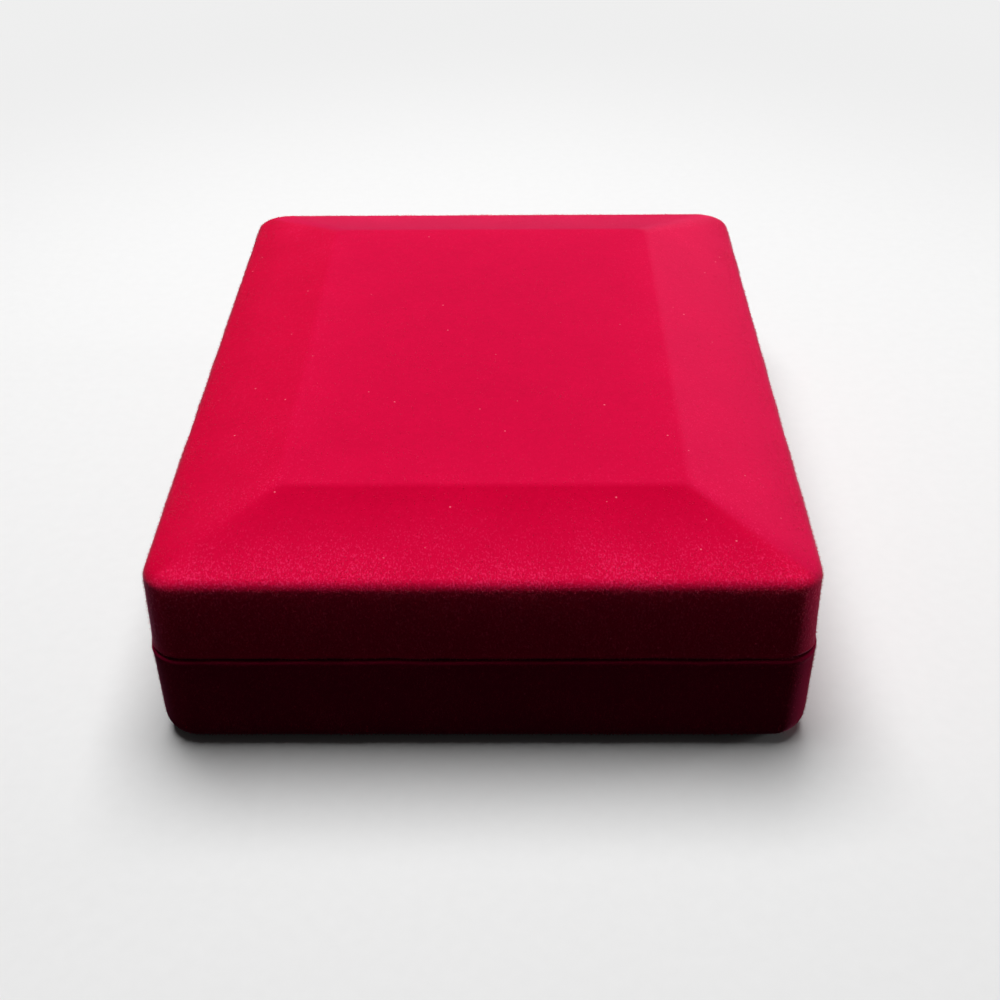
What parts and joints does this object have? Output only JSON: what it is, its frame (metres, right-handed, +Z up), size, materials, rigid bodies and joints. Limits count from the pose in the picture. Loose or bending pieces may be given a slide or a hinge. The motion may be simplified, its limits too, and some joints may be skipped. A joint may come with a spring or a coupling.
{
  "type": "jewelry presentation box",
  "caption": "Flat rectangular presentation box in crimson velvet, with a hipped lid hinged at the back, a padded satin lid lining and a velvet display insert.",
  "frame": {"origin": "centre of the underside, on the surface that the box stands on", "axes": "+Z up, +Y towards the hinged back, +X to the right seen from the front"},
  "size_m": [0.1254, 0.1623, 0.045],
  "materials": {
    "crimson_velvet": "crimson flock on moulded plastic",
    "lining_velvet": "crimson velvet on card",
    "lining_satin": "ivory satin on card",
    "card": "uncoated grey board",
    "foam": "open foam and wadding",
    "insert_velvet": "short-pile crimson velvet",
    "satin": "ivory satin",
    "hinge_steel": "brass-plated steel"
  },
  "bodies": {
    "base": {"base_shell": "crimson_velvet", "base_lining": "lining_velvet", "insert_board": "card", "insert_foam": "foam", "insert_cover": "insert_velvet", "ring_roll_front": "insert_velvet", "ring_roll_rear": "insert_velvet", "necklace_tab_left": "insert_velvet", "necklace_tab_right": "insert_velvet", "lift_ribbon": "satin", "hinge_rivets_base": "hinge_steel", "hinge_base_leaf_left": "hinge_steel", "hinge_pin_left": "hinge_steel", "hinge_spring_left": "hinge_steel", "hinge_base_leaf_right": "hinge_steel", "hinge_pin_right": "hinge_steel", "hinge_spring_right": "hinge_steel"},
    "lid": {"lid_shell": "crimson_velvet", "lid_lining": "lining_satin", "lid_pad_board": "card", "lid_pad_wadding": "foam", "lid_pad_cover": "satin", "hinge_rivets_lid": "hinge_steel", "hinge_lid_leaf_left": "hinge_steel", "hinge_lid_leaf_right": "hinge_steel"}
  },
  "joints": [
    {"name": "lid_hinge", "type": "hinge", "parent": "base", "child": "lid", "pos_m": [0, 0.0804, 0.0215], "axis": [-1, 0, 0], "range_deg": [0, 105], "deforming": ["hinge_spring_left", "hinge_spring_right"]}
  ]
}
